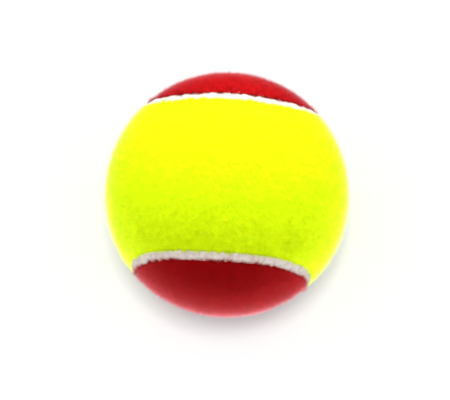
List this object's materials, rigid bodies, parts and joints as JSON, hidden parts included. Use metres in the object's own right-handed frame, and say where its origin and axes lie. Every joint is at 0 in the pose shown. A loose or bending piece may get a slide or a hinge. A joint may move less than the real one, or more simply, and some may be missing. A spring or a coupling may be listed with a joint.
{
  "type": "low compression tennis ball",
  "caption": "Hollow rubber-cored ball covered by interlocking dog-bone felt panels, yellow and red, with a white rubber seam between them.",
  "frame": {"origin": "centre of the ball", "axes": "+Z through the middle of the yellow panel's waist, +X towards one lobe of the yellow panel, +Y towards one lobe of the red panel"},
  "size_m": [0.075, 0.075, 0.075],
  "materials": {
    "core_rubber": "matte moulded rubber",
    "cement": "dried rubber solution",
    "yellow_felt": "brushed woven felt with a short nap",
    "red_felt": "brushed woven felt with a short nap",
    "seam_rubber": "matte vulcanised rubber"
  },
  "bodies": {
    "root": {"core_half_upper": "core_rubber", "core_half_lower": "core_rubber", "core_joint_cement": "cement", "yellow_panel_cement": "cement", "red_panel_cement": "cement", "yellow_felt_panel": "yellow_felt", "red_felt_panel": "red_felt", "seam_rubber": "seam_rubber"}
  },
  "joints": []
}
